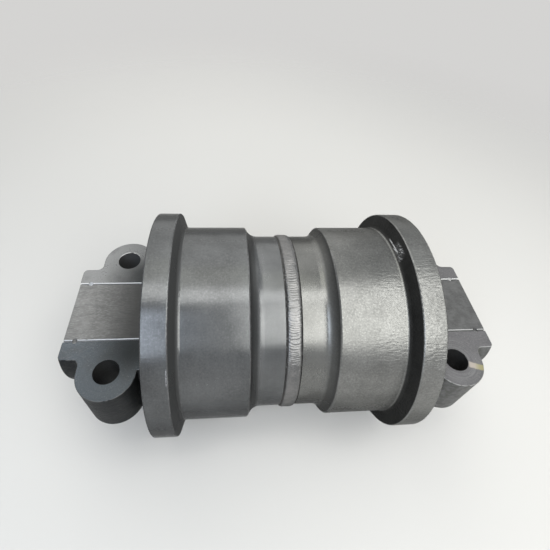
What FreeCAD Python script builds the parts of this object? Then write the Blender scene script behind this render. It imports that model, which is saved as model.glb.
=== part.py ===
import FreeCAD, Part
import math
import os
import re
import Sketcher

# Track bottom roller, lying with its mounting flats up. Millimetres and degrees.
# The origin is on the roller's axis, midway along it. +X runs along the axis,
# +Z is square to the mounting flats. Pieces are described on the +X side, and
# those of the -X side are the same pieces turned half round about Z.

sizes = {
    # shell, outside
    "shellLength": 322.0,
    "treadRadius": 125.0,
    "treadGap": 98.0,
    "treadBreak": 1.5,
    "flangeRise": 18.5,
    "rimWidth": 27.0,
    "rimBreak": 1.5,
    "flangeFoot": 6.5,
    "flangeFillet": 5.5,
    "neckDrop": 12.2,
    "neckBlend": 17.0,
    # shell, inside
    "cavityGap": 8.0,
    "spigotGap": 2.5,
    "counterboreBreak": 1.5,
    # weld
    "weldDepth": 13.3,
    "weldRootHalf": 1.5,
    "weldPrepHalf": 9.6,
    "weldUndercut": 1.5,
    "weldCrownHalf": 7.7,
    "weldRise": 2.5,
    # shaft
    "shaftRadius": 50.0,
    "shaftRecess": 1.0,
    "shaftEndBreak": 1.0,
    "shoulderRise": 14.0,
    "shoulderHalf": 18.0,
    "shoulderFillet": 1.5,
    "flatHeight": 26.0,
    "flatBevel": 1.5,
    "edgeBevel": 1.0,
    "oilRadius": 5.0,
    "oilEnd": 10.0,
    "crossRadius": 4.0,
    "plugRadius": 10.0,
    "plugLength": 17.0,
    "plugSink": 1.0,
    "plugSocket": 8.0,
    "plugSocketDepth": 9.0,
    "plugSeat": 2.0,
    # bushes
    "bearingGap": 0.08,
    "thrustGap": 0.3,
    "bushWall": 7.0,
    "bushFlange": 8.0,
    "bushFlangeRise": 10.0,
    "bushSetback": 7.0,
    "bushBreak": 1.0,
    # face seals
    "sealInset": 20.0,
    "sealGap": 0.05,
    "sealBoreGap": 4.0,
    "sealFaceWidth": 13.0,
    "sealFlange": 4.0,
    "sealRingDepth": 13.5,
    "rampStart": 4.5,
    "rampDrop": 2.5,
    "rampAngle": 15.0,
    "toricRadius": 4.0,
    "toricPlace": 9.0,
    "rubberPlay": 0.03,
    "housingDepth": 15.0,
    "housingLip": 2.0,
    # collars
    "spigotRise": 13.0,
    "discGap": 2.0,
    "discWidth": 5.0,
    "discRise": 10.0,
    "collarInnerRise": 6.0,
    "collarOuterRise": 22.0,
    "collarEndRound": 5.0,
    "collarBoreGap": 0.05,
    "endBevelLength": 1.5,
    "endBevelRise": 2.5,
    "earRadius": 34.0,
    "earDrop": 48.0,
    "earFillet": 8.0,
    "earInset": 10.5,
    "earTail": 24.5,
    "earStandOut": 11.5,
    "boltHole": 30.0,
    "boltSpot": 50.0,
    "boltSpotDepth": 1.5,
    "outlineBevel": 0.8,
    "earFootBevel": 2.0,
    # shaft seal and retaining ring
    "oringPlace": 6.0,
    "oringWidth": 5.2,
    "oringDepth": 3.8,
    "wireRadius": 3.0,
    "wirePlay": 0.05,
    "wireInset": 14.0,
    "wireEndDrop": 1.6,
}

derived = {
    "shellFace": "shellLength / 2",
    "flangeRadius": "treadRadius + flangeRise",
    "neckRadius": "treadRadius - neckDrop",
    "shoulderRadius": "shaftRadius + shoulderRise",
    "bushFlangeRadius": "shoulderRadius + bushFlangeRise",
    "cavityRadius": "bushFlangeRadius + cavityGap",
    "sealRingBore": "shaftRadius + sealBoreGap",
    "sealFaceRadius": "sealRingBore + sealFaceWidth",
    "rampRadius": "sealFaceRadius - rampDrop",
    "spigotRadius": "sealFaceRadius + spigotRise",
    "counterboreRadius": "spigotRadius + spigotGap",
    "discRadius": "spigotRadius + discRise",
    "collarInnerRadius": "spigotRadius + collarInnerRise",
    "collarOuterRadius": "shaftRadius + collarOuterRise",
    "rimInner": "shellFace - rimWidth",
    "treadInner": "treadGap / 2",
    "treadEdge": "treadRadius - treadBreak",
    "blendStart": "treadInner - sqrt(neckBlend ^ 2 - (neckBlend - treadEdge + neckRadius) ^ 2)",
    "weldFoot": "neckRadius - weldUndercut",
    "weldRootRadius": "weldFoot - weldDepth",
    "crownRise": "weldUndercut + weldRise",
    "crownRadius": "(weldCrownHalf ^ 2 + crownRise ^ 2) / (2 * crownRise)",
    "thrustFace": "shoulderHalf + thrustGap + bushFlange",
    "bushRadius": "shaftRadius + bushWall",
    "bushBore": "shaftRadius + bearingGap",
    "sealPlane": "shellFace - sealInset",
    "rampEnd": "rampRadius - (sealRingDepth - rampStart) * tan(rampAngle)",
    "toricCentre": "rampRadius - (toricPlace - rampStart) * tan(rampAngle) + toricRadius / cos(rampAngle)",
    "housingRamp": "rampRadius + 2 * toricRadius / cos(rampAngle)",
    "housingMouth": "housingRamp + (rampStart - housingLip) * tan(rampAngle)",
    "housingFloor": "housingRamp - (housingDepth - rampStart) * tan(rampAngle)",
    "shellHousing": "sealPlane - housingDepth",
    "collarHousing": "sealPlane + housingDepth",
    "bushEnd": "shellHousing - bushSetback",
    "discInner": "shellFace + discGap",
    "discOuter": "discInner + discWidth",
    "collarBore": "shaftRadius + collarBoreGap",
    "earPlace": "discOuter + earInset + earRadius",
    "earOffset": "collarOuterRadius + earStandOut",
    "earInner": "earPlace - earRadius",
    "earOuter": "earPlace + earRadius",
    "collarEnd": "earOuter + earTail",
    "shaftEnd": "collarEnd - shaftRecess",
    "oringCentre": "collarHousing + oringPlace",
    "oringFloor": "shaftRadius - oringDepth",
    "wirePlace": "collarEnd - wireInset",
    "wireWrap": "2 * acos((wireEndDrop - flatHeight) / shaftRadius)",
    "plugFace": "shaftEnd - plugSink",
    "plugFloor": "plugFace - plugLength - plugSeat",
}

doc = FreeCAD.newDocument("TrackBottomRoller")
sheet = doc.addObject("Spreadsheet::Sheet", "Sizes")
for row, (alias, number) in enumerate(sizes.items(), 1):
    sheet.set(f"A{row}", alias)
    sheet.set(f"B{row}", str(number))
    sheet.setAlias(f"B{row}", alias)
doc.recompute()

subparts = []


def formula(text):
    # a formula in the names above, spelled out for the sheet
    def spell(match):
        word = match.group()
        if word in derived:
            return "(" + formula(derived[word]) + ")"
        return "Sizes." + word if word in sizes else word
    return re.sub(r"[A-Za-z]+", spell, text)


def value(text):
    return float(sheet.evalExpression(formula(text)))


def newBody(label, side):
    body = doc.addObject("PartDesign::Body", label)
    body.Label = label
    if side == "left":
        body.Placement = FreeCAD.Placement(FreeCAD.Vector(), FreeCAD.Rotation(FreeCAD.Vector(0, 0, 1), 180))
    subparts.append(body)
    return body


def newSketch(body, name, role, height=None):
    sketch = body.newObject("Sketcher::SketchObject", f"{body.Name}_{name}")
    plane = next(item for item in body.Origin.OriginFeatures if item.Role == role)
    sketch.AttachmentSupport = [(plane, "")]
    sketch.MapMode = "FlatFace"
    if height:
        sketch.setExpression("AttachmentOffset.Base.z", formula(height))
    return sketch


def constrain(sketch, kind, *places, size=None):
    # one constraint, with its size tied to the sheet where it has one
    if size is None:
        sketch.addConstraint(Sketcher.Constraint(kind, *places))
        return
    index = sketch.addConstraint(Sketcher.Constraint(kind, *places, value(size)))
    sketch.setExpression(f"Constraints[{index}]", formula(size))


def fixPoint(sketch, geometry, end, across, up):
    constrain(sketch, "DistanceX", -1, 1, geometry, end, size=across)
    constrain(sketch, "DistanceY", -1, 1, geometry, end, size=up)


def arcBetween(start, finish, radius, turn):
    # arc of the given radius; turn is 1 where it runs anticlockwise and -1 where clockwise
    chord = finish - start
    middle = (start + finish) / 2
    left = FreeCAD.Vector(-chord.y, chord.x, 0).normalize()
    centre = middle + left * turn * math.sqrt(radius ** 2 - (chord.Length / 2) ** 2)
    first, last = (start, finish) if turn > 0 else (finish, start)
    angles = [math.atan2(point.y - centre.y, point.x - centre.x) for point in (first, last)]
    circle = Part.Circle(centre, FreeCAD.Vector(0, 0, 1), radius)
    return Part.ArcOfCircle(circle, angles[0], angles[1])


def roundedEnds(points, index, radius):
    # where a tangent arc of this radius leaves the two sides of a corner
    corner = points[index]
    before = (points[index - 1] - corner).normalize()
    after = (points[(index + 1) % len(points)] - corner).normalize()
    reach = radius / math.tan(before.getAngle(after) / 2)
    return corner + before * reach, corner + after * reach


def outline(sketch, corners):
    # a closed loop. A corner is (across, up), then "round" and the radius of its
    # rounding, or "left" or "right" and the radius of an arc from it to the next corner
    points = [FreeCAD.Vector(value(corner[0]), value(corner[1]), 0) for corner in corners]
    marks = [(corner[2], corner[3]) if len(corner) > 2 else (None, None) for corner in corners]
    arrive = list(points)
    leave = list(points)
    for index, (mark, radius) in enumerate(marks):
        if mark == "round":
            arrive[index], leave[index] = roundedEnds(points, index, value(radius))

    pieces = []
    roundings = {}
    for index, (mark, radius) in enumerate(marks):
        start, finish = leave[index], arrive[(index + 1) % len(points)]
        if mark == "round":
            before = points[index] - points[index - 1]
            after = points[(index + 1) % len(points)] - points[index]
            turn = 1 if before.cross(after).z > 0 else -1
            arc = sketch.addGeometry(arcBetween(arrive[index], start, value(radius), turn))
            roundings[index] = arc
            pieces.append((arc, 1, 2) if turn > 0 else (arc, 2, 1))
        if mark in ("left", "right"):
            turn = 1 if mark == "left" else -1
            arc = sketch.addGeometry(arcBetween(start, finish, value(radius), turn))
            constrain(sketch, "Radius", arc, size=radius)
            pieces.append((arc, 1, 2) if turn > 0 else (arc, 2, 1))
        else:
            line = sketch.addGeometry(Part.LineSegment(start, finish))
            pieces.append((line, 1, 2))

    geometries = [piece[0] for piece in pieces]
    for place, piece in enumerate(pieces):
        following = pieces[(place + 1) % len(pieces)]
        smooth = piece[0] in roundings.values() or following[0] in roundings.values()
        kind = "Tangent" if smooth else "Coincident"
        constrain(sketch, kind, piece[0], piece[2], following[0], following[1])
    place = 0
    for index, corner in enumerate(corners):
        if index in roundings:
            arc = roundings[index]
            place = geometries.index(arc)
            point = sketch.addGeometry(Part.Point(points[index]), True)
            fixPoint(sketch, point, 1, corner[0], corner[1])
            constrain(sketch, "PointOnObject", point, 1, geometries[place - 1])
            constrain(sketch, "PointOnObject", point, 1, geometries[(place + 1) % len(geometries)])
            constrain(sketch, "Radius", arc, size=corner[3])
            place += 2
        else:
            fixPoint(sketch, pieces[place][0], pieces[place][1], corner[0], corner[1])
            place += 1


def turned(body, name, corners, cut=False):
    # the outline turned a full circle about the roller's axis
    sketch = newSketch(body, name, "XZ_Plane")
    outline(sketch, corners)
    return spun(body, name, sketch, cut)


def spun(body, name, sketch, cut=False):
    kind = "PartDesign::Groove" if cut else "PartDesign::Revolution"
    feature = body.newObject(kind, f"{body.Name}_{name}_turned")
    feature.Profile = sketch
    feature.ReferenceAxis = (sketch, ["H_Axis"])
    feature.Angle = 360
    sketch.Visibility = False
    doc.recompute()
    return feature


def circleAt(sketch, across, up, radius):
    centre = FreeCAD.Vector(value(across), value(up), 0)
    circle = sketch.addGeometry(Part.Circle(centre, FreeCAD.Vector(0, 0, 1), value(radius)))
    fixPoint(sketch, circle, 3, across, up)
    constrain(sketch, "Radius", circle, size=radius)
    return circle


def slot(sketch, across, reach, radius):
    # two half circles, at reach above and below the sketch's axis, joined by straight sides
    centre, offset, size = value(across), value(reach), value(radius)
    up = FreeCAD.Vector(0, 0, 1)
    low = Part.Circle(FreeCAD.Vector(centre, -offset, 0), up, size)
    high = Part.Circle(FreeCAD.Vector(centre, offset, 0), up, size)
    corners = [FreeCAD.Vector(centre + way * size, y, 0) for way, y in
               ((-1, -offset), (1, -offset), (1, offset), (-1, offset))]
    bottom = sketch.addGeometry(Part.ArcOfCircle(low, math.pi, 2 * math.pi))
    right = sketch.addGeometry(Part.LineSegment(corners[1], corners[2]))
    top = sketch.addGeometry(Part.ArcOfCircle(high, 0, math.pi))
    left = sketch.addGeometry(Part.LineSegment(corners[3], corners[0]))
    loop = (bottom, right, top, left)
    for place, geometry in enumerate(loop):
        constrain(sketch, "Tangent", geometry, 2, loop[(place + 1) % 4], 1)
    constrain(sketch, "Equal", bottom, top)
    constrain(sketch, "Radius", bottom, size=radius)
    fixPoint(sketch, top, 3, across, reach)
    constrain(sketch, "Symmetric", bottom, 3, top, 3, -1)


def pressed(body, name, sketch, kind, length=None, reverse=False, through=False):
    # a pad or a pocket of a sketch
    feature = body.newObject(f"PartDesign::{kind}", f"{body.Name}_{name}")
    feature.Profile = sketch
    feature.Reversed = reverse
    if through:
        feature.Type = "ThroughAll"
        feature.SideType = "Symmetric"
    if length:
        feature.setExpression("Length", formula(length))
    sketch.Visibility = False
    doc.recompute()
    return feature


def edgesWhere(feature, test):
    return [f"Edge{number}" for number, edge in enumerate(feature.Shape.Edges, 1) if test(edge)]


def rounded(body, name, base, edges, radius):
    feature = body.newObject("PartDesign::Fillet", f"{body.Name}_{name}")
    feature.Base = (base, edges)
    feature.setExpression("Radius", formula(radius))
    doc.recompute()
    return feature


def bevelled(body, name, base, edges, size):
    feature = body.newObject("PartDesign::Chamfer", f"{body.Name}_{name}")
    feature.Base = (base, edges)
    feature.setExpression("Size", formula(size))
    doc.recompute()
    return feature


def near(one, other):
    return abs(one - other) < 0.01


def makeShell(side):
    body = newBody(f"roller_shell_{side}", side)
    turned(body, "section", [
        ("0", "cavityRadius"),
        ("0", "weldRootRadius"),
        ("weldRootHalf", "weldRootRadius"),
        ("weldPrepHalf", "weldFoot"),
        ("weldPrepHalf", "neckRadius"),
        ("blendStart", "neckRadius", "left", "neckBlend"),
        ("treadInner", "treadEdge"),
        ("treadInner + treadBreak", "treadRadius"),
        ("rimInner - flangeFoot", "treadRadius", "round", "flangeFillet"),
        ("rimInner", "flangeRadius", "round", "rimBreak"),
        ("shellFace", "flangeRadius", "round", "rimBreak"),
        ("shellFace", "counterboreRadius + counterboreBreak"),
        ("shellFace - counterboreBreak", "counterboreRadius"),
        ("sealPlane - housingLip", "counterboreRadius"),
        ("sealPlane - housingLip", "housingMouth"),
        ("shellHousing", "housingFloor"),
        ("shellHousing", "bushRadius"),
        ("thrustFace", "bushRadius"),
        ("thrustFace", "cavityRadius"),
    ])


def makeWeld():
    body = newBody("weld_bead", "both")
    turned(body, "section", [
        ("weldRootHalf", "weldRootRadius"),
        ("weldPrepHalf", "weldFoot"),
        ("weldCrownHalf", "weldFoot", "left", "crownRadius"),
        ("-weldCrownHalf", "weldFoot"),
        ("-weldPrepHalf", "weldFoot"),
        ("-weldRootHalf", "weldRootRadius"),
    ])


def makeBush(side):
    body = newBody(f"bush_{side}", side)
    turned(body, "section", [
        ("shoulderHalf + thrustGap", "bushBore + bushBreak"),
        ("shoulderHalf + thrustGap", "bushFlangeRadius - bushBreak"),
        ("shoulderHalf + thrustGap + bushBreak", "bushFlangeRadius"),
        ("thrustFace", "bushFlangeRadius"),
        ("thrustFace", "bushRadius"),
        ("bushEnd - bushBreak", "bushRadius"),
        ("bushEnd", "bushRadius - bushBreak"),
        ("bushEnd", "bushBore"),
        ("shoulderHalf + thrustGap + bushBreak", "bushBore"),
    ])


def makeSealRing(side, part, way):
    # way is "+" for the ring in the collar and "-" for the one in the shell
    body = newBody(f"seal_ring_{part}_{side}", side)
    turned(body, "section", [
        (f"sealPlane {way} sealGap", "sealRingBore"),
        (f"sealPlane {way} sealGap", "sealFaceRadius"),
        (f"sealPlane {way} sealFlange", "sealFaceRadius"),
        (f"sealPlane {way} rampStart", "rampRadius"),
        (f"sealPlane {way} sealRingDepth", "rampEnd"),
        (f"sealPlane {way} sealRingDepth", "sealRingBore"),
    ])


def makeToric(side, part, way):
    body = newBody(f"seal_toric_{part}_{side}", side)
    sketch = newSketch(body, "section", "XZ_Plane")
    circleAt(sketch, f"sealPlane {way} toricPlace", "toricCentre", "toricRadius - rubberPlay")
    spun(body, "section", sketch)


def makeShaft():
    body = newBody("shaft", "both")
    half = turned(body, "half", [
        ("0", "0"),
        ("0", "shoulderRadius"),
        ("shoulderHalf - shoulderFillet", "shoulderRadius"),
        ("shoulderHalf", "shoulderRadius - shoulderFillet"),
        ("shoulderHalf", "shaftRadius"),
        ("oringCentre - oringWidth / 2", "shaftRadius"),
        ("oringCentre - oringWidth / 2", "oringFloor"),
        ("oringCentre + oringWidth / 2", "oringFloor"),
        ("oringCentre + oringWidth / 2", "shaftRadius"),
        ("shaftEnd - shaftEndBreak", "shaftRadius"),
        ("shaftEnd", "shaftRadius - shaftEndBreak"),
        ("shaftEnd", "0"),
    ])
    flatSketch = newSketch(body, "flat", "XZ_Plane")
    outline(flatSketch, [
        ("discOuter", "flatHeight"),
        ("shaftEnd + edgeBevel", "flatHeight"),
        ("shaftEnd + edgeBevel", "shaftRadius + edgeBevel"),
        ("discOuter", "shaftRadius + edgeBevel"),
    ])
    flat = pressed(body, "flat_cut", flatSketch, "Pocket", through=True)
    mirror = body.newObject("PartDesign::Mirrored", "shaft_mirrored")
    mirror.Originals = [half, flat]
    mirror.MirrorPlane = (next(item for item in body.Origin.OriginFeatures if item.Role == "YZ_Plane"), [""])
    body.Tip = mirror
    doc.recompute()
    sides = edgesWhere(mirror, lambda edge: isFlatSide(edge, "shaftRadius"))
    bevelled(body, "flat_bevels", mirror, sides, "flatBevel")
    wires = newSketch(body, "wire_grooves", "XZ_Plane")
    for place in ("wirePlace", "-wirePlace"):
        circleAt(wires, place, "shaftRadius", "wireRadius")
    spun(body, "wire_grooves", wires, cut=True)
    turned(body, "oil_passage", [
        ("-oilEnd", "0"),
        ("-oilEnd", "oilRadius"),
        ("plugFloor", "oilRadius"),
        ("plugFloor", "plugRadius"),
        ("shaftEnd + plugSink", "plugRadius"),
        ("shaftEnd + plugSink", "0"),
    ], cut=True)
    cross = newSketch(body, "cross_hole", "XY_Plane")
    circleAt(cross, "0", "0", "crossRadius")
    pressed(body, "cross_hole_cut", cross, "Pocket", through=True)


def makePlug():
    body = newBody("oil_plug", "right")
    turned(body, "section", [
        ("plugFace - plugLength", "0"),
        ("plugFace - plugLength", "plugRadius - edgeBevel"),
        ("plugFace - plugLength + edgeBevel", "plugRadius"),
        ("plugFace - edgeBevel", "plugRadius"),
        ("plugFace", "plugRadius - edgeBevel"),
        ("plugFace", "0"),
    ])
    socket = newSketch(body, "socket", "YZ_Plane", "plugFace")
    corner = "plugSocket / 2 / cos(30)"
    flats = [(f"{corner} * cos({angle})", f"{corner} * sin({angle})") for angle in range(0, 360, 60)]
    outline(socket, flats)
    pressed(body, "socket_cut", socket, "Pocket", "plugSocketDepth")


def makeCollar(side):
    body = newBody(f"collar_{side}", side)
    turned(body, "body", [
        ("sealPlane + housingLip", "0"),
        ("sealPlane + housingLip", "spigotRadius"),
        ("discInner", "spigotRadius"),
        ("discInner", "discRadius"),
        ("discOuter", "discRadius"),
        ("discOuter", "collarInnerRadius"),
        ("earInner + earFillet", "collarInnerRadius"),
        ("earOuter - earFillet", "collarOuterRadius"),
        ("collarEnd", "collarOuterRadius", "round", "collarEndRound"),
        ("collarEnd", "0"),
    ])
    ears = newSketch(body, "ears", "XY_Plane", "flatHeight")
    slot(ears, "earPlace", "earOffset", "earRadius")
    pad = pressed(body, "ears_pad", ears, "Pad", "flatHeight + earDrop", reverse=True)
    roots = rounded(body, "ear_roots", pad, edgesWhere(pad, isEarRoot), "earFillet")
    bevelled(body, "ear_feet", roots, edgesWhere(roots, isEarFoot), "earFootBevel")
    top = newSketch(body, "top", "XZ_Plane")
    outline(top, [
        ("discOuter", "flatHeight"),
        ("collarEnd + edgeBevel", "flatHeight"),
        ("collarEnd + edgeBevel", "discRadius + edgeBevel"),
        ("discOuter", "discRadius + edgeBevel"),
    ])
    cut = pressed(body, "top_cut", top, "Pocket", through=True)
    bevelled(body, "outline_bevel", cut, edgesWhere(cut, isOutline), "outlineBevel")
    bore = turned(body, "bore", [
        ("sealPlane", "0"),
        ("sealPlane", "housingMouth"),
        ("sealPlane + housingLip", "housingMouth"),
        ("collarHousing", "housingFloor"),
        ("collarHousing", "collarBore"),
        ("collarEnd - endBevelLength", "collarBore"),
        ("collarEnd", "collarBore + endBevelRise"),
        ("collarEnd + edgeBevel", "collarBore + endBevelRise"),
        ("collarEnd + edgeBevel", "0"),
    ], cut=True)
    sides = edgesWhere(bore, lambda edge: isFlatSide(edge, "collarBore"))
    bevelled(body, "bore_bevels", bore, sides, "flatBevel")
    wire = newSketch(body, "wire_groove", "XZ_Plane")
    circleAt(wire, "wirePlace", "shaftRadius", "wireRadius")
    spun(body, "wire_groove", wire, cut=True)
    holes = newSketch(body, "bolt_holes", "XY_Plane", "flatHeight")
    for offset in ("earOffset", "-earOffset"):
        circleAt(holes, "earPlace", offset, "boltHole / 2")
    pressed(body, "bolt_holes_cut", holes, "Pocket", through=True)
    spots = newSketch(body, "bolt_spots", "XY_Plane", "-earDrop")
    for offset in ("earOffset", "-earOffset"):
        circleAt(spots, "earPlace", offset, "boltSpot / 2")
    pressed(body, "bolt_spots_cut", spots, "Pocket", "boltSpotDepth", reverse=True)


def isFlatSide(edge, radius):
    # a long straight edge where the mounting flat meets a round of this radius
    if not isinstance(edge.Curve, Part.Line) or not near(edge.CenterOfMass.z, value("flatHeight")):
        return False
    return near(abs(edge.CenterOfMass.y), value(f"sqrt({radius} ^ 2 - flatHeight ^ 2)"))


def isEarRoot(edge):
    # the edge where an ear's outer end leaves the round body
    if not isinstance(edge.Curve, Part.Circle) or not near(edge.CenterOfMass.x, value("earOuter")):
        return False
    return near(edge.Curve.Radius, value("collarOuterRadius"))


def isEarFoot(edge):
    # the round edge of an ear's underside, with which the straight ones go
    return isinstance(edge.Curve, Part.Circle) and near(edge.CenterOfMass.z, -value("earDrop"))


def isOutline(edge):
    # an edge round the mounting flat, apart from the one along the disc
    if not near(edge.CenterOfMass.z, value("flatHeight")):
        return False
    return not near(edge.CenterOfMass.x, value("discOuter"))


def makeRetainingRing(side):
    body = newBody(f"retaining_ring_{side}", side)
    sketch = newSketch(body, "section", "XZ_Plane")
    circleAt(sketch, "wirePlace", "-shaftRadius", "wireRadius - wirePlay")
    ring = spun(body, "section", sketch)
    ring.Midplane = True
    ring.setExpression("Angle", formula("wireWrap"))
    doc.recompute()


def makeOring(side):
    body = newBody(f"shaft_oring_{side}", side)
    sketch = newSketch(body, "section", "XZ_Plane")
    middle = "(oringFloor + collarBore) / 2"
    circleAt(sketch, "oringCentre", middle, "(collarBore - oringFloor) / 2 - rubberPlay")
    spun(body, "section", sketch)


makeShaft()
makePlug()
makeWeld()
for side in ("left", "right"):
    makeShell(side)
    makeBush(side)
    makeCollar(side)
    makeRetainingRing(side)
    makeOring(side)
    for part, way in (("fixed", "+"), ("turning", "-")):
        makeSealRing(side, part, way)
        makeToric(side, part, way)
doc.recompute()

failed = [item.Name for item in doc.Objects if {"Invalid", "Error"} & set(item.State)]
if failed:
    raise RuntimeError("features that failed: " + ", ".join(failed))
os.makedirs("parts", exist_ok=True)
for subpart in subparts:
    if subpart.Shape.isNull() or not subpart.Shape.isValid():
        raise RuntimeError("no valid solid: " + subpart.Label)
for subpart in subparts:
    subpart.Shape.exportStep(f"parts/{subpart.Label}.step")
    print(subpart.Label, len(subpart.Shape.Solids), round(subpart.Shape.Volume / 1000, 1), "cm3")
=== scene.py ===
import math
import bpy
from mathutils import Matrix, Vector, noise


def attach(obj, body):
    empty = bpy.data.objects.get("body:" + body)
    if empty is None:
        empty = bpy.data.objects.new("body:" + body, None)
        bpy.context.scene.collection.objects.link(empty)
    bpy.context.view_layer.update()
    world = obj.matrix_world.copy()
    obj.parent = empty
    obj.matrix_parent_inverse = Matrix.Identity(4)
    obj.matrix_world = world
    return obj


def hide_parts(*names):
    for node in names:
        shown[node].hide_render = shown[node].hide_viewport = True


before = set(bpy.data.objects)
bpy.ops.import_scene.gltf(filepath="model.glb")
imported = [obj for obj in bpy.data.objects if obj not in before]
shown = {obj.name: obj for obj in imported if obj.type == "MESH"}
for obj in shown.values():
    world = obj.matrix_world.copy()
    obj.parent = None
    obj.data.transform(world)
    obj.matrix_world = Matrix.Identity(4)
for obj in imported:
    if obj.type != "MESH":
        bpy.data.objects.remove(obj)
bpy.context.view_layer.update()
print("frame loaded:", len(shown), "nodes")

scene = bpy.context.scene
scene.view_settings.view_transform = "Standard"


# camera, fitted to the photograph's 550 x 550 frame

camera = {
    "place": (-0.0756, -0.2847, 0.4578),
    "turn": {"X": 0.7338, "Y": -0.0989, "Z": -0.0056},
    "focalPixels": 383.52,
    "centrePixels": (265.14, 249.43),
    "framePixels": 550,
    "sensorWidth": 36.0,
    "clip": (0.01, 50),
}


def makeCamera(spec):
    data = bpy.data.cameras.new("camera")
    data.sensor_fit = "HORIZONTAL"
    data.sensor_width = spec["sensorWidth"]
    data.lens = spec["sensorWidth"] * spec["focalPixels"] / spec["framePixels"]
    middle = spec["framePixels"] / 2
    data.shift_x = (middle - spec["centrePixels"][0]) / spec["framePixels"]
    data.shift_y = (spec["centrePixels"][1] - middle) / spec["framePixels"]
    data.clip_start, data.clip_end = spec["clip"]
    made = bpy.data.objects.new("camera", data)
    turn = {axis: Matrix.Rotation(angle, 4, axis) for axis, angle in spec["turn"].items()}
    made.matrix_world = Matrix.Translation(spec["place"]) @ turn["Z"] @ turn["X"] @ turn["Y"]
    scene.collection.objects.link(made)
    scene.camera = made


makeCamera(camera)
print("camera placed")


# shader helpers

class Signal:
    # a shader socket that takes part in arithmetic
    def __init__(self, paint, socket):
        self.paint = paint
        self.socket = socket

    def __add__(self, other):
        return self.paint.maths("ADD", self, other)

    def __radd__(self, other):
        return self.paint.maths("ADD", other, self)

    def __sub__(self, other):
        return self.paint.maths("SUBTRACT", self, other)

    def __rsub__(self, other):
        return self.paint.maths("SUBTRACT", other, self)

    def __mul__(self, other):
        return self.paint.maths("MULTIPLY", self, other)

    def __rmul__(self, other):
        return self.paint.maths("MULTIPLY", other, self)

    def __truediv__(self, other):
        return self.paint.maths("DIVIDE", self, other)

    def __rtruediv__(self, other):
        return self.paint.maths("DIVIDE", other, self)


class Paint:
    # one material, or the world, and the nodes that make it
    def __init__(self, name, owner=None):
        self.material = owner or bpy.data.materials.new(name)
        self.material.use_nodes = True
        self.tree = self.material.node_tree
        self.tree.nodes.clear()

    def node(self, kind, settings=None, inputs=None, output=0):
        # settings go first, because sockets depend on them
        made = self.tree.nodes.new("ShaderNode" + kind)
        for name, value in (settings or {}).items():
            setattr(made, name, value)
        for name, value in (inputs or {}).items():
            if isinstance(value, Signal):
                self.tree.links.new(value.socket, made.inputs[name])
            else:
                made.inputs[name].default_value = value
        return Signal(self, made.outputs[output]) if made.outputs else None

    def maths(self, operation, first, second=0.0):
        return self.node("Math", {"operation": operation}, {0: first, 1: second})

    def step(self, value, start, full):
        # smooth change from 0 at start to 1 at full, whichever is larger
        return self.node("MapRange", {"interpolation_type": "SMOOTHSTEP"},
                         {"Value": value, "From Min": start, "From Max": full})

    def band(self, value, centre, half, soft):
        # 1 within half of centre, falling to 0 over soft
        away = self.absolute(value - centre)
        return 1 - self.step(away, half, half + soft)

    def mix(self, factor, first, second):
        return factor * (second - first) + first

    def absolute(self, value):
        return self.maths("ABSOLUTE", value)

    def length(self, first, second):
        return self.maths("SQRT", first * first + second * second)

    def blend(self, factor, first, second):
        sockets = {0: factor, 6: first, 7: second}
        return self.node("Mix", {"data_type": "RGBA"}, sockets, output=2)

    def layered(self, base, patterns, layers):
        # a layer: its pattern, where that starts and is full, strength, colour
        for name, start, full, strength, colour in layers:
            mask = self.step(patterns[name], start, full) * strength
            base = self.blend(mask, base, colour)
        return base

    def vector(self, x=0.0, y=0.0, z=0.0):
        return self.node("CombineXYZ", inputs={"X": x, "Y": y, "Z": z})

    def tinted(self, level, tint):
        return self.vector(*[level * part for part in tint])

    def noise(self, where, scale, detail, roughness):
        return self.node("TexNoise", None, {"Vector": where, "Scale": scale,
                                            "Detail": detail, "Roughness": roughness})

    def drawnOut(self, parts, scales, detail, roughness):
        # noise with a scale of its own along each part
        where = self.vector(*[part * scale for part, scale in zip(parts, scales)])
        return self.noise(where, 1.0, detail, roughness)

    def place(self):
        # the point in the part's own frame, in metres, then its x, y and z
        point = self.node("TexCoord", output=3)
        return point, *self.parts(point)

    def parts(self, point):
        first = self.node("SeparateXYZ", None, {0: point})
        return [Signal(self, socket) for socket in first.socket.node.outputs]

    def bump(self, height, distance=1.0):
        return self.node("Bump", None, {"Height": height, "Distance": distance, "Strength": 1.0})

    def finish(self, **inputs):
        sockets = {name.replace("_", " "): value for name, value in inputs.items()}
        shader = self.node("BsdfPrincipled", None, sockets)
        self.node("OutputMaterial", None, {"Surface": shader})
        return self.material


def grey(level, tint=(1.0, 1.0, 1.0)):
    return (level * tint[0], level * tint[1], level * tint[2], 1.0)


def finishWith(material, *nodes):
    for name in nodes:
        for slot in shown[name].material_slots:
            slot.material = material


# roller shell: dark coat over turned steel. The left half is smoother than the right, and the
# right half's coat is painted lighter, as painted light

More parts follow.
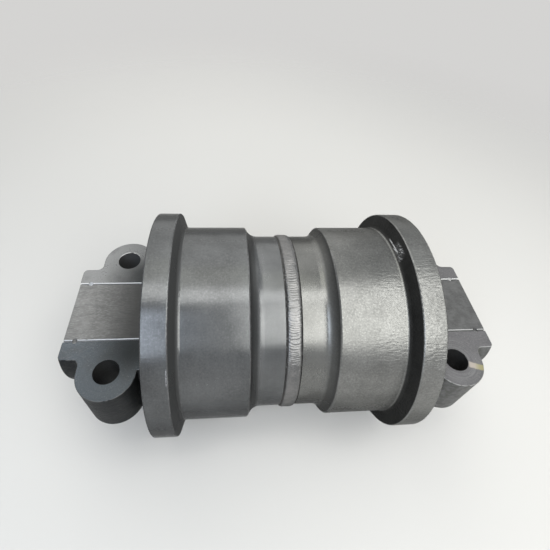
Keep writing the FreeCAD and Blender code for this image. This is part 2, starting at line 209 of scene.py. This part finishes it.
shellFinish = {
    "left": {"coat": 0.106, "tint": (0.98, 1.0, 1.015), "metallic": 0.65, "roughness": 0.235,
             "streaks": 0.08, "rippleHeight": 0.00004, "grainHeight": 0.00003, "grainMix": 0.25,
             "faceShadeLevel": 0.62, "neckLevel": 1.25, "neckRoughness": 0.26, "rimLevel": 1.0},
    "right": {"coat": 0.175, "tint": (1.0, 1.0, 0.965), "metallic": 0.75, "roughness": 0.34,
              "streaks": 0.04, "rippleHeight": 0.00033, "grainHeight": 0.00005, "grainMix": 0.33,
              "faceShadeLevel": 0.14, "neckLevel": 0.88, "neckRoughness": 0.27, "rimLevel": 1.15},
    # patterns: scale, or a scale for each part, then detail and roughness
    "fine": ((1500, 1.5, 1.5), 3.0, 0.6),
    "wide": ((330, 2.5, 2.5), 3.0, 0.65),
    "ripple": ((130, 430, 430), 2.0, 0.5),
    "mottle": (15.0, 5.0, 0.62),
    "grain": (470.0, 3.0, 0.7),
    # where zones begin and end, in metres: radii, or distances along the axis
    "neckEnd": (0.1131, 0.1156),
    "curveEnd": (0.1228, 0.1242),
    "faceStart": (0.1248, 0.1268),
    "faceEnd": (0.1422, 0.1429),
    "rimStart": (0.1425, 0.1431),
    "hubFade": (0.140, 0.156),
    "rippleRise": (0.06, 0.13),
    # levels, as parts of the coat's own
    "coatMottle": (0.32, 0.68),
    "coatRange": (0.82, 1.18),
    "wideLine": 1.7,
    "fineLine": 1.8,
    "paleGrain": 2.1,
    "darkGrain": 0.35,
    "outerFace": 0.6,
    "curveShadeLevel": 0.35,
    # strengths
    "neckCalm": 0.6,
    "faceMix": 0.92,
    "faceMottle": 0.5,
    "curveMix": 0.75,
    "mottleRoughness": 0.12,
    "lineRoughness": 0.35,
    "grainRoughness": 0.3,
    "curveRoughness": (0.7, 0.55),
    "faceRoughness": 0.58,
    "lineHeights": (0.00001, 0.00002),
    "rippleParts": (0.35, 0.22),
    # worn corners
    "bare": (0.46, 0.46, 0.47, 1.0),
    "edgeTint": (0.15, 0.15, 0.15, 1.0),
    "treadInner": 0.049,
    "treadRadius": 0.125,
    "rimMiddle": 0.1475,
    "rimHalf": 0.0135,
    "rimRadius": 0.1435,
    "edgeWidth": 0.0016,
    "edgeWear": 0.15,
    "broken": (70.0, 4.0, 0.7),
    "brokenRange": (0.40, 0.66),
}


def shellSteel(side):
    own, shared = shellFinish[side], shellFinish
    paint = Paint("shell_steel_" + side)
    point, x, y, z = paint.place()
    radius = paint.length(y, z)
    reach = paint.absolute(x)
    along = x + radius
    turned = (along, y / radius, z / radius)
    fine = paint.drawnOut(turned, *shared["fine"])
    wide = paint.drawnOut(turned, *shared["wide"])
    mottle = paint.noise(point, *shared["mottle"])
    grain = paint.noise(point, *shared["grain"])
    ripple = paint.drawnOut((along, y, z), *shared["ripple"])

    # the coat is lighter on some zones than on others, and grain and streaks lie over it
    level, tint = own["coat"], own["tint"]
    onNeck = 1 - paint.step(radius, *shared["neckEnd"])
    onRim = paint.step(radius, *shared["rimStart"])
    shade = paint.mix(onNeck, paint.mix(onRim, 1.0, own["rimLevel"]), own["neckLevel"])
    thickness = paint.step(mottle, *shared["coatMottle"])
    shade = shade * paint.mix(thickness, *shared["coatRange"]) * level
    speckled = (1 - onNeck * shared["neckCalm"]) * own["grainMix"]
    patterns = {"wide": wide, "fine": fine, "grain": grain}
    base = paint.layered(paint.tinted(shade, tint), patterns, (
        ("wide", 0.35, 0.75, own["streaks"], grey(level * shared["wideLine"], tint)),
        ("fine", 0.45, 0.80, own["streaks"], grey(level * shared["fineLine"])),
        ("grain", 0.50, 0.72, speckled, grey(level * shared["paleGrain"], tint)),
        ("grain", 0.50, 0.28, speckled, grey(level * shared["darkGrain"], tint)),
    ))

    # the faces of the flange are darker: partly the forging's dark, partly painted shade, much
    # deeper on the right
    belowRim = 1 - paint.step(radius, *shared["faceEnd"])
    face = paint.step(reach, *shared["faceStart"]) * belowRim
    hub = paint.step(reach, *shared["hubFade"])
    shadedFace = paint.tinted(paint.mix(hub, own["faceShadeLevel"], shared["outerFace"]) * level, tint)
    faceMix = shared["faceMix"] + (mottle - 0.5) * shared["faceMottle"]
    base = paint.blend(face * faceMix, base, shadedFace)

    # painted shade darkens the curve from the neck up to the tread
    curve = (1 - onNeck) * (1 - paint.step(radius, *shared["curveEnd"]))
    base = paint.blend(curve * shared["curveMix"], base, grey(level * shared["curveShadeLevel"], tint))
    base = paint.blend(cornerWear(paint, point, radius, reach), base, shared["bare"])

    roughness = paint.mix(onNeck, own["roughness"], own["neckRoughness"])
    roughness = roughness + (mottle - 0.5) * shared["mottleRoughness"]
    roughness = roughness + (fine + wide - 1) * own["streaks"] * shared["lineRoughness"]
    curveMix, curveRoughness = shared["curveRoughness"]
    roughness = paint.mix(curve * curveMix, roughness, curveRoughness)
    roughness = roughness + (0.5 - grain) * speckled * shared["grainRoughness"]
    roughness = paint.mix(face, roughness, shared["faceRoughness"])

    fineHeight, wideHeight = shared["lineHeights"]
    height = fine * fineHeight + wide * wideHeight
    height = height + grain * own["grainHeight"] * (1 - onNeck * shared["neckCalm"])
    least, neckLess = shared["rippleParts"]
    rippled = least + paint.step(reach, *shared["rippleRise"]) - onNeck * neckLess
    height = height + ripple * rippled * own["rippleHeight"]
    if side == "right":
        base, roughness = chainRub(paint, base, roughness, point, (x, y, z))
    else:
        base = rimKnock(paint, base, point, (x, y, z))
    return paint.finish(Base_Color=base, Metallic=own["metallic"], Roughness=roughness,
                        Specular_Tint=shared["edgeTint"], Normal=paint.bump(height))


def cornerWear(paint, point, radius, reach):
    # broken wear along the corners of rim and tread
    spec = shellFinish
    width = spec["edgeWidth"]
    fromMiddle = paint.absolute(reach - spec["rimMiddle"])
    rimEdge = paint.step(radius, spec["rimRadius"] - width, spec["rimRadius"] - width * 0.3)
    rimEdge = rimEdge * paint.step(fromMiddle, spec["rimHalf"] - width, spec["rimHalf"])
    onTread = paint.band(radius, spec["treadRadius"] - width / 2, width / 2, width / 2)
    treadEdge = onTread * paint.band(reach, spec["treadInner"], width * 0.8, width / 2)
    broken = paint.step(paint.noise(point, *spec["broken"]), *spec["brokenRange"])
    return (rimEdge + treadEdge) * broken * spec["edgeWear"]


# marks of handling: a band is its centre, half width and soft border, in metres

chainMarks = {
    "top": (0.05, 0.08),
    "wander": (45.0, 2.0, 0.6),
    "wanderWidth": 0.0012,
    "broken": (210.0, 3.0, 0.7),
    "brokenRange": (0.36, 0.52),
    "dashes": ((1500, 130, 130), 2.0, 0.6),
    "dashRange": (0.50, 0.62),
    "dashSlant": 0.22,
    "scratchAcross": (0.1285, 0.00014, 0.0003),
    "scratchAlong": (0.0190, 0.0090, 0.008),
    "rubAcross": (0.1293, 0.0012, 0.0014),
    "rubAlong": (0.0065, 0.0075, 0.008),
    "rubColour": grey(0.11),
    "rubMix": 0.5,
    "bare": (0.66, 0.66, 0.66, 1.0),
    "bareMix": 0.9,
    "roughen": 0.1,
}

knock = {
    "across": (-0.1355, 0.0004, 0.0005),
    "height": (0.081, 0.006, 0.003),
    "front": (-0.08, -0.1),
    "broken": (420.0, 3.0, 0.7),
    "brokenRange": (0.42, 0.58),
    "bare": (0.40, 0.40, 0.42, 1.0),
    "bareMix": 0.8,
}


def chainRub(paint, base, roughness, point, parts):
    # a long scratch and a rubbed patch at the foot of the right flange, on its upper side
    x, y, z = parts
    spec = chainMarks
    wander = paint.noise(paint.vector(y, 0.0, z), *spec["wander"]) - 0.5
    line = x + wander * spec["wanderWidth"]
    broken = paint.step(paint.noise(point, *spec["broken"]), *spec["brokenRange"])
    dashes = paint.drawnOut((x + y * spec["dashSlant"], y, z), *spec["dashes"])
    dashes = paint.step(dashes, *spec["dashRange"])
    top = paint.step(z, *spec["top"])
    scratch = paint.band(line, *spec["scratchAcross"]) * paint.band(y, *spec["scratchAlong"])
    rubbed = paint.band(line, *spec["rubAcross"]) * paint.band(y, *spec["rubAlong"]) * top
    marks = broken * paint.maths("MAXIMUM", scratch * top, dashes * rubbed)
    base = paint.blend(rubbed * spec["rubMix"], base, spec["rubColour"])
    base = paint.blend(marks * spec["bareMix"], base, spec["bare"])
    return base, roughness + marks * spec["roughen"]


def rimKnock(paint, base, point, parts):
    # a knock on the inner corner of the left rim
    x, y, z = parts
    patch = paint.band(x, *knock["across"]) * paint.band(z, *knock["height"])
    patch = patch * paint.step(y, *knock["front"])
    broken = paint.step(paint.noise(point, *knock["broken"]), *knock["brokenRange"])
    return paint.blend(patch * broken * knock["bareMix"], base, knock["bare"])


for side in ("left", "right"):
    finishWith(shellSteel(side), f"roller_shell_{side}")
print("roller shells painted")


# weld bead: overlapping crescent ripples round the neck, in place of the plain CAD ring

weldBead = {
    "footRadius": 0.1111,
    "crownRadius": 0.1152,
    "crownLevel": 0.92,
    "crownSpan": (-0.0085, 0.0092),
    "crownPower": 5,
    "halfWidth": 0.00950,
    "toeRise": 0.0006,
    "shallowRise": 0.0008,
    "shallowSide": (0.7, 1.6),
    "rootRadius": 0.0985,
    "rootHalf": 0.0014,
    "rippleCount": 235,
    "stepsPerRipple": 10,
    "rippleHeight": 0.00040,
    "rippleMiddle": 0.35,
    "rippleFall": 1.6,
    "scallop": 0.06,
    "bow": 1.15,
    "strengthMiddle": 0.90,
    "strengthLeast": 0.35,
    "across": 26,
    # unevenness: scale round the bead, offset, scale across the bead, amount
    "slowDrift": (5, (0, 0, 3), 0, 1.6),
    "quickDrift": (17, (0, 0, 0), 0, 0.45),
    "tilt": (8, (5, 0, 0), 0, 0.8),
    "strength": (22, (0, 4, 0), 0, 0.6),
    "edgeWave": (30, (0, 0, 0), 9, 0.07),
    "crownWave": (5, (0, 0, 0), 0, 0.07),
    "lumps": (34, (0, 0, 0), 1.5, 0.00022),
    "fineLumps": (110, (0, 0, 0), 4.5, 0.00016),
    "toeWave": (52, (3, 0, 0), 2, 1.4),
}

weldFinish = {
    "soot": (60.0, 4.0, 0.65),
    "grain": (900.0, 3.0, 0.7),
    "metal": (grey(0.152), grey(0.224, (1.0, 0.98, 0.97))),
    "layers": (("grain", 0.50, 0.75, 0.4, grey(0.38)),
               ("grain", 0.45, 0.25, 0.4, grey(0.07))),
    "leftToe": (-0.0068, -0.0078),
    "rightToe": (0.0086, 0.0091),
    "toeShadeColour": grey(0.05, (1.05, 1.0, 0.92)),
    "toeShadeMix": 0.7,
    "metallic": 0.85,
    "roughness": 0.38,
    "sootRoughness": 0.2,
    "toeRoughness": 0.15,
    "edgeTint": (0.4, 0.4, 0.4, 1.0),
    "grainHeight": 0.00010,
}


def uneven(spec, name, around, across=0):
    scale, offset, crosswise, amount = spec[name]
    where = around * scale + Vector(offset) + Vector((0, 0, crosswise * across))
    return noise.noise(where) * amount


def weldPoint(spec, turn, across):
    # one point of the bead's crown; turn in ripples, across from -1 to 1
    angle = turn / spec["rippleCount"] * 2 * math.pi
    around = Vector((math.cos(angle), math.sin(angle), 0))
    drift = uneven(spec, "slowDrift", around) + uneven(spec, "quickDrift", around)
    tilt = uneven(spec, "tilt", around)
    phase = (turn + drift + tilt * across - spec["bow"] * across * across) % 1
    strength = spec["strengthMiddle"] + uneven(spec, "strength", around)
    shape = (1 - phase) ** spec["rippleFall"] - spec["rippleMiddle"]
    ripple = spec["rippleHeight"] * shape * max(strength, spec["strengthLeast"])

    # the crown falls steeply to an uneven toe, which is higher where the groove is shallow
    x = across * spec["halfWidth"]
    wave = uneven(spec, "edgeWave", around, across)
    reach = spec["crownSpan"][across > 0] * (1 + wave - phase * spec["scallop"])
    crown = (1 - min(x / reach, 1) ** spec["crownPower"]) ** 0.5
    rise = spec["crownLevel"] + uneven(spec, "crownWave", around)
    rise *= spec["crownRadius"] - spec["footRadius"]
    lumps = uneven(spec, "lumps", around, across) + uneven(spec, "fineLumps", around, across)
    middle, slope = spec["shallowSide"]
    toe = spec["toeRise"] * (1 + uneven(spec, "toeWave", around, across))
    toe += spec["shallowRise"] * max(0, min(1, middle + slope * around.y))
    radius = spec["footRadius"] + max(rise * crown + (ripple + lumps) * crown ** 0.5, toe)
    return onRing(x, min(radius, spec["crownRadius"]), angle)


def onRing(x, radius, angle):
    return Vector((x, radius * math.sin(angle), radius * math.cos(angle)))


def makeWeldBead(spec):
    steps = spec["rippleCount"] * spec["stepsPerRipple"]
    points, faces = [], []
    for step in range(steps):
        turn = step / spec["stepsPerRipple"]
        angle = step / steps * 2 * math.pi
        for index in range(spec["across"] + 1):
            points.append(weldPoint(spec, turn, index / spec["across"] * 2 - 1))
        for x in (spec["rootHalf"], -spec["rootHalf"]):
            points.append(onRing(x, spec["rootRadius"], angle))
    ring = spec["across"] + 3
    for step in range(steps):
        here, there = step * ring, (step + 1) % steps * ring
        for index in range(ring):
            after = (index + 1) % ring
            faces.append((here + index, here + after, there + after, there + index))
    mesh = bpy.data.meshes.new("weld_ripples")
    mesh.from_pydata(points, [], faces)
    mesh.polygons.foreach_set("use_smooth", [True] * len(faces))
    mesh.update()
    made = bpy.data.objects.new("weld_ripples", mesh)
    scene.collection.objects.link(made)
    return made


def weldMetal(spec):
    paint = Paint("weld_metal")
    point, x, *_ = paint.place()
    soot = paint.noise(point, *spec["soot"])
    grain = paint.noise(point, *spec["grain"])
    # painted shade: dark bands along the toes of the bead, wider on the left
    toe = paint.step(x, *spec["leftToe"]) + paint.step(x, *spec["rightToe"])
    base = paint.blend(paint.step(soot, 0.35, 0.70), *spec["metal"])
    base = paint.layered(base, {"grain": grain}, spec["layers"])
    base = paint.blend(toe * spec["toeShadeMix"], base, spec["toeShadeColour"])
    roughness = spec["roughness"] + (soot - 0.5) * spec["sootRoughness"]
    roughness = roughness + toe * spec["toeRoughness"]
    return paint.finish(Base_Color=base, Metallic=spec["metallic"], Roughness=roughness,
                        Specular_Tint=spec["edgeTint"],
                        Normal=paint.bump(grain, spec["grainHeight"]))


bead = makeWeldBead(weldBead)
bead.data.materials.append(weldMetal(weldFinish))
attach(bead, "roller")
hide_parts("weld_bead")
print("weld bead laid")


# collars and shaft: dark coat, milled on the flats and as forged elsewhere

endFinish = {
    "flatLevel": 0.026,
    "flatSoft": (0.0001, 0.0002),
    "aboveFlat": (0.0261, 0.0263),
    "bevelFoot": (0.0244, 0.0250),
    "frontToBack": (-0.01, 0.01),
    "speckle": (620.0, 3.0, 0.65),
    "bevelShade": grey(0.03),
    "bevelShadeMix": 0.8,
    "bare": (0.78, 0.78, 0.78, 1.0),
    # painted shade darkens the left end towards the flange
    "flangeShadeStart": (-0.130, -0.150),
    "oilEnd": (-0.186, -0.258),
    "flangeShadeMix": 0.92,
}

collarFinish = {
    "left": {"flat": grey(0.235, (0.99, 1.0, 1.005)), "frontFlat": grey(0.125, (0.87, 1.0, 1.13)),
             "forged": (grey(0.014, (0.9, 1.0, 1.1)), grey(0.028)), "metallic": 0.64,
             "roughness": 0.30, "ringPart": 0.25, "cutHeight": 0.00002, "edgeWear": 0.12,
             "edgeTint": grey(0.2)},
    "right": {"flat": grey(0.140, (1.02, 0.985, 1.02)), "frontFlat": grey(0.140, (1.02, 0.985, 1.02)),
              "forged": (grey(0.085, (1.0, 1.0, 0.94)), grey(0.14)), "metallic": 0.55,
              "roughness": 0.40, "ringPart": 0.8, "cutHeight": 0.00005, "edgeWear": 0.25,
              "edgeTint": grey(0.5)},
    "mottle": (24.0, 5.0, 0.62),
    "scale": (150.0, 4.0, 0.62),
    "milled": ((260, 760, 300), 3.0, 0.6),
    "rings": ((900, 25, 25), 2.0, 0.6),
    "holePlace": (0.2125, 0.0835),
    "holeWall": (0.0152, 0.0156),
    "holeLightAndShade": (grey(0.03), grey(0.12)),
    "ringFade": (0.0272, 0.034),
    "holeGlint": (0.0155, 0.0003, 0.0003),
    "holeGlintStart": (0.088, 0.094),
    "boreSide": (0.0443, 0.0446),
    "edgeRise": (0.0251, 0.0254),
    "earStart": (0.060, 0.105),
    "earShadeCut": 0.55,
    "flangeShadeColour": grey(0.02, (0.9, 1.0, 1.05)),
    "forgedLayers": (("mottle", 0.55, 0.75, 0.4, grey(0.10, (1.1, 1.0, 0.82))),),
    "cutColour": grey(0.25),
    "cutMix": 0.3,
    "ringMix": 0.5,
    "flatLayers": (("mottle", 0.45, 0.70, 0.5, grey(0.10)),
                   ("speckle", 0.56, 0.80, 0.6, grey(0.38)),
                   ("speckle", 0.44, 0.20, 0.6, grey(0.06))),
    "bevelGlint": 0.9,
    "forgedMetallic": 0.35,
    "forgedRoughness": 0.52,
    "mottleRoughness": 0.14,
    "cutRoughness": 0.10,
    "flatSpeckle": 0.00002,
    "forgedHeights": (0.0005, 0.00006),
}


# painted shade: 1 on the left end near the flange, fading outwards
def flangeShade(paint, x):
    return paint.step(x, *endFinish["flangeShadeStart"]) * (1 - paint.step(x, *endFinish["oilEnd"]))


def collarSteel(side):
    spec, shared, own = endFinish, collarFinish, collarFinish[side]
    paint = Paint("collar_steel_" + side)
    point, x, y, z = paint.place()
    reach, spread = paint.absolute(x), paint.absolute(y)
    flat = paint.band(z, spec["flatLevel"], *spec["flatSoft"])
    mottle = paint.noise(point, *shared["mottle"])
    scale = paint.noise(point, *shared["scale"])
    speckle = paint.noise(point, *spec["speckle"])
    milled = paint.drawnOut((x, y, z), *shared["milled"])
    patterns = {"mottle": mottle, "speckle": speckle}

    # rings left by the cutter round each bolt hole
    holeX, holeY = shared["holePlace"]
    fromHole = paint.length(reach - holeX, spread - holeY)
    ringed = 1 - paint.step(fromHole, *shared["ringFade"])
    rings = paint.drawnOut((fromHole, x, y), *shared["rings"])
    cut = paint.mix(ringed, milled, paint.mix(own["ringPart"], 0.5, rings))

    forged = paint.blend(paint.step(scale, 0.35, 0.70), *own["forged"])
    forged = paint.layered(forged, patterns, shared["forgedLayers"])
    back = paint.step(y, *spec["frontToBack"])
    cutMix = shared["cutMix"] + ringed * own["ringPart"] * shared["ringMix"]
    # on the left the front of the flat is painted darker and bluer than the back, as painted shade
    top = paint.blend(back, own["frontFlat"], own["flat"])
    top = paint.blend(paint.step(cut, 0.35, 0.75) * cutMix, top, shared["cutColour"])
    top = paint.layered(top, patterns, shared["flatLayers"])
    # a painted highlight on the far rim of the back bolt holes
    holeGlint = paint.band(fromHole, *shared["holeGlint"]) * paint.step(y, *shared["holeGlintStart"])
    top = paint.blend(holeGlint * paint.step(scale, 0.40, 0.55), top, spec["bare"])
    if side == "right":
        top = greaseSmear(paint, top, x, y, scale)
    base = paint.blend(flat, forged, top)
    # painted shade darkens the left collar towards the flange, less on the ears
    if side == "left":
        oil = spec["flangeShadeMix"] - paint.step(spread, *shared["earStart"]) * shared["earShadeCut"]
        base = paint.blend(flangeShade(paint, x) * oil, base, shared["flangeShadeColour"])

    # the bevel along the shaft is bare metal and a painted highlight at the back, and painted
    # shade at the front; a line round the edge of the flat is worn bare and a painted highlight
    # too
    under = 1 - paint.step(z, *spec["aboveFlat"])
    rising = paint.step(z, *spec["bevelFoot"])
    bevel = (1 - paint.step(spread, *shared["boreSide"])) * rising * under
    edge = paint.step(z, *shared["edgeRise"]) * (1 - flat) * under
    wornAndGlint = edge * paint.step(scale, 0.36, 0.52) * own["edgeWear"]
    bare = paint.maths("MAXIMUM", bevel * back * shared["bevelGlint"], wornAndGlint)
    base = paint.blend(bevel * (1 - back) * spec["bevelShadeMix"], base, spec["bevelShade"])
    base = paint.blend(bare, base, spec["bare"])
    # painted light and shade: the walls of the back bolt holes lighter than those of the front
    # ones
    hole = (1 - paint.step(fromHole, *shared["holeWall"])) * (1 - rising)
    base = paint.blend(hole, base, paint.blend(back, *shared["holeLightAndShade"]))

    metallic = paint.mix(flat, shared["forgedMetallic"], own["metallic"])
    roughness = paint.mix(flat, shared["forgedRoughness"], own["roughness"])
    roughness = roughness + (mottle - 0.5) * shared["mottleRoughness"]
    roughness = roughness + (cut - 0.5) * shared["cutRoughness"] * flat
    scaleHeight, speckleHeight = shared["forgedHeights"]
    height = flat * (cut * own["cutHeight"] + speckle * shared["flatSpeckle"])
    height = height + (1 - flat) * (scale * scaleHeight + speckle * speckleHeight)
    return paint.finish(Base_Color=base, Metallic=metallic, Roughness=roughness,
                        Specular_Tint=own["edgeTint"], Normal=paint.bump(height))


smear = {
    "middle": (0.2366, -0.0936),
    "slope": (0.951, 0.309),
    "along": (0.0, 0.0095, 0.002),
    "across": (0.0, 0.0026, 0.0022),
    "waver": 0.003,
    "turnsGreen": (-0.006, 0.004),
    "colours": ((0.50, 0.44, 0.38, 1.0), (0.36, 0.33, 0.17, 1.0)),
    "mix": 0.8,
}


def greaseSmear(paint, base, x, y, scale):
    # a dried smear from the bolt hole to the edge of the front right ear
    fromX, fromY = x - smear["middle"][0], y - smear["middle"][1]
    cosine, sine = smear["slope"]
    along = fromX * cosine - fromY * sine
    across = fromX * sine + fromY * cosine + (scale - 0.5) * smear["waver"]
    mask = paint.band(along, *smear["along"]) * paint.band(across, *smear["across"])
    colour = paint.blend(paint.step(along, *smear["turnsGreen"]), *smear["colours"])
    return paint.blend(mask * smear["mix"], base, colour)


shaftFinish = {
    "mottle": (28.0, 5.0, 0.65),
    "cloudy": (85.0, 4.0, 0.65),
    "milled": ((230, 780, 780), 3.0, 0.62),
    "streak": ((60, 260, 260), 3.0, 0.62),
    "metal": (grey(0.14, (1.0, 0.99, 0.97)), grey(0.205, (1.0, 0.99, 0.97))),
    "milledLayers": (("milled", 0.40, 0.75, 0.6, grey(0.32)),),
    "leftToRight": (-0.05, 0.05),
    "rightMetal": (grey(0.062), grey(0.106)),
    "rightMix": 0.75,
    "topLayers": (("streak", 0.50, 0.30, 0.5, grey(0.11)),
                  ("speckle", 0.44, 0.20, 0.5, grey(0.07))),
    "flangeShadeColour": grey(0.025),
    "bevelSide": (0.0409, 0.0412),
    "bevelRise": (0.0248, 0.0253),
    "frontGlintRise": (0.0254, 0.0256),
    "frontGlintMix": 0.4,
    "metallic": 0.55,
    "roughness": 0.42,
    "mottleRoughness": 0.16,
    "milledRoughness": 0.18,
    "milledHeight": 0.00004,
    "speckleHeight": 0.00002,
}


def shaftSteel():
    spec, ends = shaftFinish, endFinish
    paint = Paint("shaft_steel")
    point, x, y, z = paint.place()
    mottle = paint.noise(point, *spec["mottle"])
    milled = paint.drawnOut((x, y, z), *spec["milled"])
    streak = paint.drawnOut((x, y, z), *spec["streak"])
    speckle = paint.noise(point, *ends["speckle"])
    cloudy = paint.noise(point, *spec["cloudy"])
    patterns = {"milled": milled, "streak": streak, "speckle": speckle}
    left = paint.blend(paint.step(mottle, 0.30, 0.70), *spec["metal"])
    left = paint.layered(left, patterns, spec["milledLayers"])
    right = paint.blend(paint.step(cloudy, 0.36, 0.64), *spec["rightMetal"])
    base = paint.blend(paint.step(x, *spec["leftToRight"]) * spec["rightMix"], left, right)
    base = paint.layered(base, patterns, spec["topLayers"])
    # painted shade darkens the left end of the shaft towards the flange
    base = paint.blend(flangeShade(paint, x) * ends["flangeShadeMix"], base, spec["flangeShadeColour"])

    # painted shade darkens the bevels along the flat, and a thin painted highlight runs along the
    # front
    bevel = paint.step(paint.absolute(y), *spec["bevelSide"]) * paint.step(z, *spec["bevelRise"])
    base = paint.blend(bevel * ends["bevelShadeMix"], base, ends["bevelShade"])
    front = 1 - paint.step(y, *ends["frontToBack"])
    line = bevel * front * paint.step(z, *spec["frontGlintRise"]) * paint.step(streak, 0.28, 0.42)
    base = paint.blend(line * spec["frontGlintMix"], base, ends["bare"])
    roughness = spec["roughness"] + (mottle - 0.5) * spec["mottleRoughness"]
    roughness = roughness + (milled - 0.5) * spec["milledRoughness"]
    height = milled * spec["milledHeight"] + speckle * spec["speckleHeight"]
    return paint.finish(Base_Color=base, Metallic=spec["metallic"], Roughness=roughness,
                        Normal=paint.bump(height))


for side in ("left", "right"):
    finishWith(collarSteel(side), f"collar_{side}")
finishWith(shaftSteel(), "shaft")
print("collars and shaft painted")


# inner pieces and small parts

plain = {
    "grain": (3.0, 0.6),
    "stain": (40.0, 4.0, 0.6),
    "range": (0.3, 0.7),
    "grainMix": 0.4,
    "stainMix": 0.5,
    "stainLevel": 0.6,
    "stainRoughness": 0.15,
}


def plainFinish(name, colour, metallic, roughness, grainScale, grainHeight):
    paint = Paint(name)
    point, *_ = paint.place()
    grain = paint.noise(point, grainScale, *plain["grain"])
    stain = paint.noise(point, *plain["stain"])
    stained = [part * plain["stainLevel"] for part in colour] + [1.0]
    clean = paint.step(grain, *plain["range"]) * plain["grainMix"]
    clean = clean + paint.step(stain, *plain["range"]) * plain["stainMix"]
    base = paint.blend(clean, stained, [*colour, 1.0])
    roughness = roughness + (stain - 0.5) * plain["stainRoughness"]
    return paint.finish(Base_Color=base, Metallic=metallic, Roughness=roughness,
                        Normal=paint.bump(grain, grainHeight))


# colour, metallic, roughness, scale and height of the grain, then the pieces
finishes = {
    "bush_bronze": ((0.62, 0.42, 0.20), 1.0, 0.30, 500, 0.00002, ("bush",)),
    "seal_iron": ((0.42, 0.42, 0.42), 1.0, 0.28, 700, 0.00002,
                  ("seal_ring_fixed", "seal_ring_turning")),
    "seal_rubber": ((0.020, 0.020, 0.021), 0.0, 0.55, 900, 0.00003,
                    ("seal_toric_fixed", "seal_toric_turning", "shaft_oring")),
    "spring_wire": ((0.42, 0.42, 0.42), 0.8, 0.38, 900, 0.00002, ("retaining_ring",)),
}
for name, (*look, pieces) in finishes.items():
    material = plainFinish(name, *look)
    finishWith(material, *[f"{piece}_{side}" for piece in pieces for side in ("left", "right")])
finishWith(plainFinish("plug_steel", (0.45, 0.44, 0.40), 1.0, 0.35, 800, 0.00002), "oil_plug")
print("inner pieces finished")


# floor, lamps and world

studio = {
    "floorLevel": -0.1435,
    "floorHalf": 8.0,
    "floorColour": (0.555, 0.545, 0.53),
    "floorFade": (0.65, 1.60),
    "floorRoughness": 0.9,
    # the world, from below upwards
    "ground": (0.66, 0.655, 0.645, 1.0),
    "groundFade": (-0.12, 0.03),
    "horizon": (0.50, 0.51, 0.52, 1.0),
    "skyFade": (0.06, 0.42),
    "sky": (0.19, 0.21, 0.235, 1.0),
}

# each lamp is a panel from one edge to the other. Its light is its radiance, which its size
# turns into watts
lamps = {
    "overhead": {"from": (0.28, -0.38, 1.50), "to": (0.28, 0.03, 1.50), "side": (1, 0, 0),
                 "width": 1.75, "light": 5.3, "colour": (1.0, 1.0, 0.97)},
    "overhead_soft": {"from": (-0.1, 0.06, 1.50), "to": (-0.1, 0.90, 1.70), "side": (1, 0, 0),
                      "width": 0.9, "light": 1.9, "colour": (1.0, 1.0, 0.90)},
    "front_right": {"from": (0.42, -1.13, 0.53), "to": (0.42, -0.42, 1.40), "side": (1, 0, 0),
                    "width": 0.86, "light": 4.8, "colour": (1.0, 1.0, 0.96)},
    "front_left": {"from": (-0.56, -1.10, 0.55), "to": (-0.56, -0.55, 1.25), "side": (1, 0, 0),
                   "width": 0.48, "light": 5.2, "colour": (0.86, 0.96, 1.11)},
    "back": {"from": (-0.5, 1.75, 0.12), "to": (-0.5, 0.95, 1.75), "side": (1, 0, 0),
             "width": 2.1, "light": 1.4, "colour": (1.0, 0.99, 0.95)},
    "back_right": {"from": (1.70, 0.90, 0.15), "to": (1.70, 0.90, 1.45),
                   "side": (0.47, -0.88, 0.0), "width": 1.5, "light": 1.6,
                   "colour": (1.0, 1.0, 0.97)},
}


def makeFloor(spec):
    half = spec["floorHalf"]
    mesh = bpy.data.meshes.new("floor")
    corners = [(-half, -half), (half, -half), (half, half), (-half, half)]
    mesh.from_pydata([(x, y, spec["floorLevel"]) for x, y in corners], [], [(0, 1, 2, 3)])
    made = bpy.data.objects.new("floor", mesh)
    scene.collection.objects.link(made)
    # far from the roller the floor fades into the world
    paint = Paint("floor")
    _, x, y, _ = paint.place()
    near = 1 - paint.step(paint.length(x, y), *spec["floorFade"])
    colour = (*spec["floorColour"], 1.0)
    material = paint.finish(Base_Color=colour, Roughness=spec["floorRoughness"], Alpha=near)
    made.data.materials.append(material)


def makeLamp(name, spec):
    # an area lamp that faces the roller
    near, far = Vector(spec["from"]), Vector(spec["to"])
    data = bpy.data.lights.new(name, "AREA")
    data.shape = "RECTANGLE"
    data.size, data.size_y = spec["width"], (far - near).length
    data.energy = spec["light"] * math.pi * data.size * data.size_y
    data.color = spec["colour"]
    made = bpy.data.objects.new(name, data)
    rise = (far - near).normalized()
    side = Vector(spec["side"]).normalized()
    face = side.cross(rise)
    if face.dot(-near) > 0:
        side, face = -side, -face
    turn = Matrix((side, rise, face)).transposed()
    made.matrix_world = Matrix.Translation((near + far) / 2) @ turn.to_4x4()
    made.visible_camera = False
    scene.collection.objects.link(made)


def makeWorld(spec):
    # pale below, as the floor is, and darker overhead
    world = bpy.data.worlds.new("studio")
    paint = Paint("studio", world)
    height = paint.parts(paint.node("TexCoord"))[2]
    colour = paint.blend(paint.step(height, *spec["groundFade"]), spec["ground"], spec["horizon"])
    colour = paint.blend(paint.step(height, *spec["skyFade"]), colour, spec["sky"])
    paint.node("OutputWorld", None, {"Surface": paint.node("Background", None, {"Color": colour})})
    scene.world = world


makeFloor(studio)
for name, spec in lamps.items():
    makeLamp(name, spec)
makeWorld(studio)
print("studio lit")
